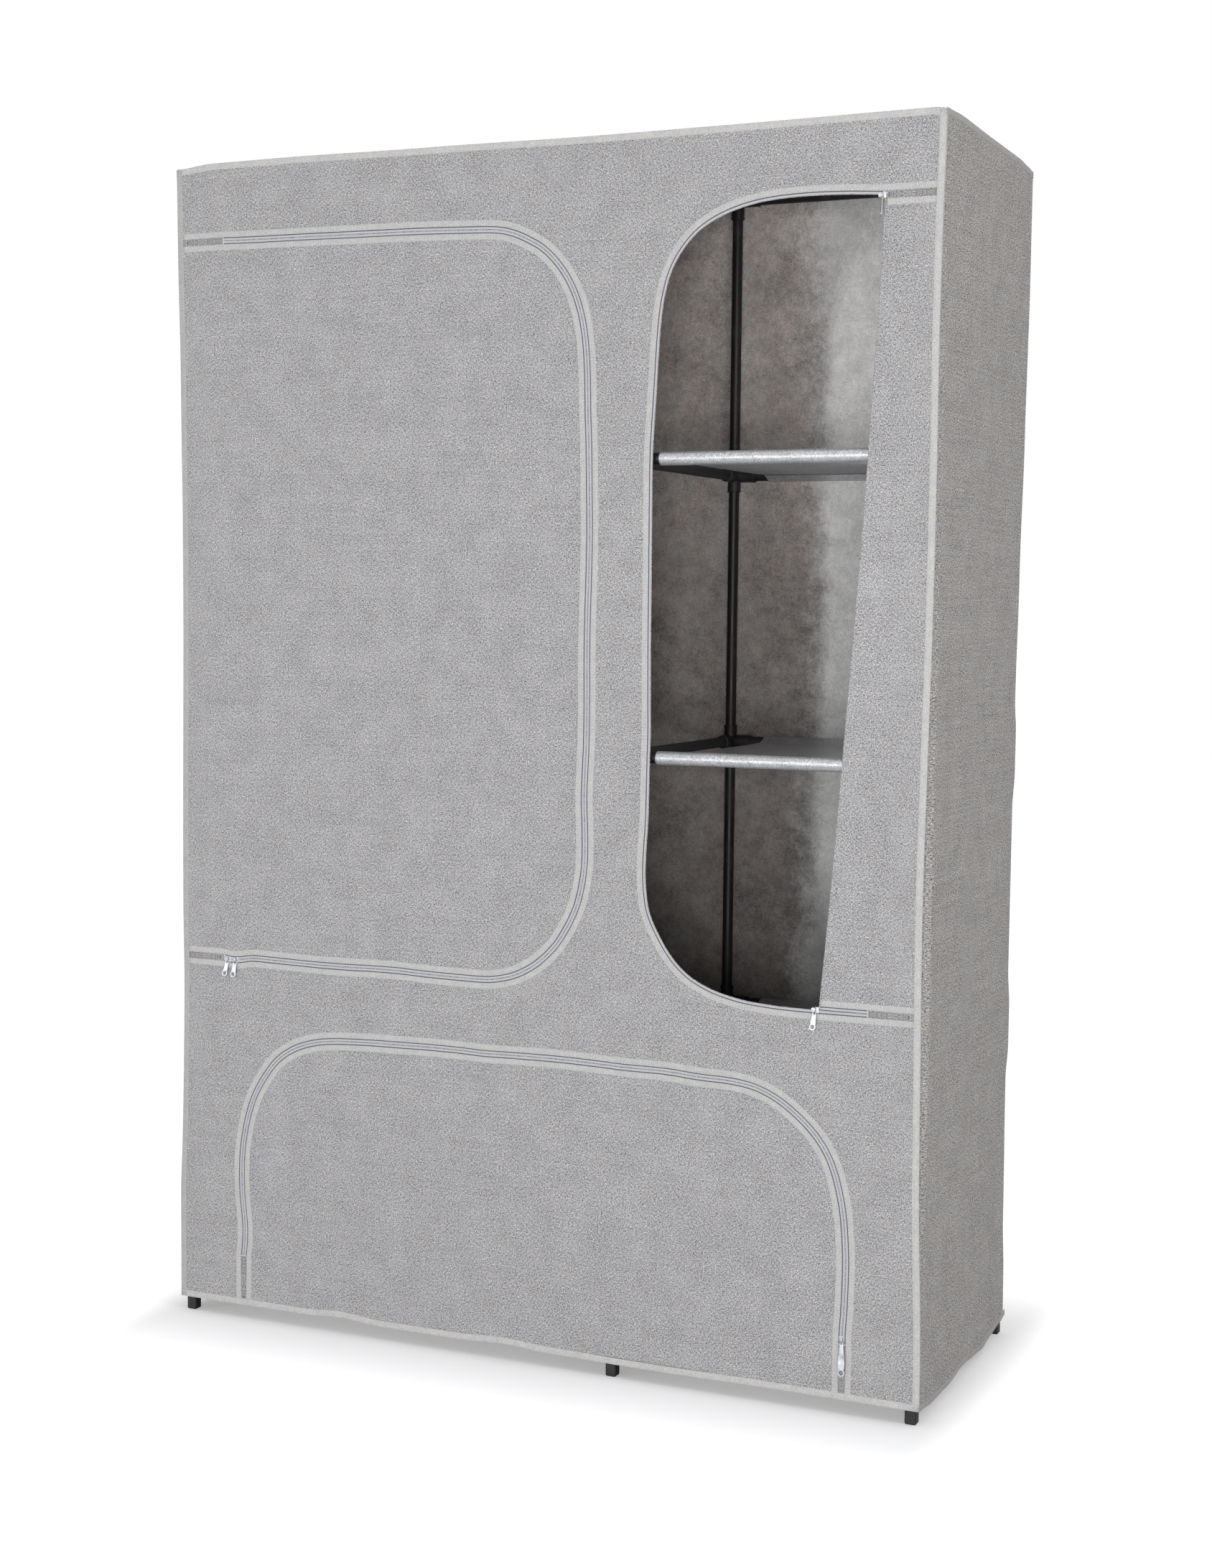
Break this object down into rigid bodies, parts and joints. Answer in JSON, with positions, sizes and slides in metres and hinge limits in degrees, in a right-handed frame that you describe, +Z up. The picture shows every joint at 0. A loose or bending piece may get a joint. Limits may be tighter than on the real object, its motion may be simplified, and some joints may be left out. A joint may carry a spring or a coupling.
{
  "type": "portable fabric wardrobe",
  "caption": "Tall free-standing tube-frame wardrobe in a bound cloth cover, with zipped doors, a hanging bay, a shelf bay and a low compartment.",
  "frame": {"origin": "on the floor, at the centre of the cover's plan", "axes": "+Z up, front with the zipped doors towards -Y, hanging bay towards -X and shelf bay towards +X"},
  "size_m": [1.1908, 0.4649, 1.75],
  "materials": {
    "black_tube": "black coated steel tube with satin black plastic connectors",
    "cover_cloth": "grey non-woven with a printed linen look, paler bindings",
    "shelf_cloth": "silvery grey embossed non-woven",
    "zip_metal": "bright cast zip slider and pull"
  },
  "bodies": {
    "wardrobe": {"post_left_front": "black_tube", "post_left_rear": "black_tube", "depth_tube_left_base": "black_tube", "depth_tube_left_low": "black_tube", "depth_tube_left_top": "black_tube", "post_middle_front": "black_tube", "post_middle_rear": "black_tube", "depth_tube_middle_base": "black_tube", "depth_tube_middle_low": "black_tube", "depth_tube_middle_middle": "black_tube", "depth_tube_middle_upper": "black_tube", "depth_tube_middle_top": "black_tube", "post_right_front": "black_tube", "post_right_rear": "black_tube", "depth_tube_right_base": "black_tube", "depth_tube_right_low": "black_tube", "depth_tube_right_middle": "black_tube", "depth_tube_right_upper": "black_tube", "depth_tube_right_top": "black_tube", "width_tube_left_base_front": "black_tube", "width_tube_left_base_rear": "black_tube", "width_tube_left_low_front": "black_tube", "width_tube_left_low_rear": "black_tube", "width_tube_left_top_front": "black_tube", "width_tube_left_top_rear": "black_tube", "width_tube_right_base_front": "black_tube", "width_tube_right_base_rear": "black_tube", "width_tube_right_low_front": "black_tube", "width_tube_right_low_rear": "black_tube", "width_tube_right_middle_front": "black_tube", "width_tube_right_middle_rear": "black_tube", "width_tube_right_upper_front": "black_tube", "width_tube_right_upper_rear": "black_tube", "width_tube_right_top_front": "black_tube", "width_tube_right_top_rear": "black_tube", "hanging_rail": "black_tube", "shelf_left_base": "shelf_cloth", "shelf_left_low": "shelf_cloth", "shelf_right_base": "shelf_cloth", "shelf_right_low": "shelf_cloth", "shelf_right_middle": "shelf_cloth", "shelf_right_upper": "shelf_cloth", "cover_front": "cover_cloth", "cover_back": "cover_cloth", "cover_left_side": "cover_cloth", "cover_right_side": "cover_cloth", "cover_roof": "cover_cloth"},
    "left_door": {"left_door": "cover_cloth"},
    "right_door": {"right_door": "cover_cloth"},
    "bottom_door": {"bottom_door": "cover_cloth"},
    "slider_left_end": {"slider_left_end": "zip_metal"},
    "pull_left_end": {"pull_left_end": "zip_metal"},
    "slider_left_lead": {"slider_left_lead": "zip_metal"},
    "pull_left_lead": {"pull_left_lead": "zip_metal"},
    "slider_right_top": {"slider_right_top": "zip_metal"},
    "pull_right_top": {"pull_right_top": "zip_metal"},
    "slider_right_bottom": {"slider_right_bottom": "zip_metal"},
    "pull_right_bottom": {"pull_right_bottom": "zip_metal"},
    "slider_bottom": {"slider_bottom": "zip_metal"},
    "pull_bottom": {"pull_bottom": "zip_metal"}
  },
  "joints": [
    {"name": "left_door_hinge", "type": "hinge", "parent": "wardrobe", "child": "left_door", "pos_m": [-0.52285, -0.2304, 1.1], "axis": [0, 0, -1], "range_deg": [0, 110]},
    {"name": "right_door_hinge", "type": "hinge", "parent": "wardrobe", "child": "right_door", "pos_m": [0.52285, -0.2304, 1.1], "axis": [0, 0, 1], "range_deg": [0, 110]},
    {"name": "bottom_door_hinge", "type": "hinge", "parent": "wardrobe", "child": "bottom_door", "pos_m": [0, -0.2304, 0.03415], "axis": [1, 0, 0], "range_deg": [0, 90]},
    {"name": "slider_left_end_slide", "type": "slide", "parent": "left_door", "child": "slider_left_end", "axis": [1, 0, 0], "range_m": [0, 0.009]},
    {"name": "pull_left_end_hinge", "type": "hinge", "parent": "slider_left_end", "child": "pull_left_end", "pos_m": [-0.509, -0.2328, 0.5563], "axis": [-1, 0, 0], "range_deg": [0, 140]},
    {"name": "slider_left_lead_slide", "type": "slide", "parent": "left_door", "child": "slider_left_lead", "axis": [1, 0, 0], "range_m": [0, 0.433]},
    {"name": "pull_left_lead_hinge", "type": "hinge", "parent": "slider_left_lead", "child": "pull_left_lead", "pos_m": [-0.488, -0.2328, 0.5563], "axis": [-1, 0, 0], "range_deg": [0, 140]},
    {"name": "slider_right_top_slide", "type": "slide", "parent": "right_door", "child": "slider_right_top", "axis": [-1, 0, 0], "range_m": [0, 0.112]},
    {"name": "pull_right_top_hinge", "type": "hinge", "parent": "slider_right_top", "child": "pull_right_top", "pos_m": [0.511, -0.2328, 1.6403], "axis": [-1, 0, 0], "range_deg": [0, 140]},
    {"name": "slider_right_bottom_slide", "type": "slide", "parent": "right_door", "child": "slider_right_bottom", "axis": [1, 0, 0], "range_m": [-0.054, 0.072]},
    {"name": "pull_right_bottom_hinge", "type": "hinge", "parent": "slider_right_bottom", "child": "pull_right_bottom", "pos_m": [0.438, -0.2328, 0.5563], "axis": [-1, 0, 0], "range_deg": [0, 140]},
    {"name": "slider_bottom_slide", "type": "slide", "parent": "bottom_door", "child": "slider_bottom", "axis": [0, 0, 1], "range_m": [0, 0.15]},
    {"name": "pull_bottom_hinge", "type": "hinge", "parent": "slider_bottom", "child": "pull_bottom", "pos_m": [0.485, -0.2328, 0.1073], "axis": [-1, 0, 0], "range_deg": [0, 140]}
  ]
}
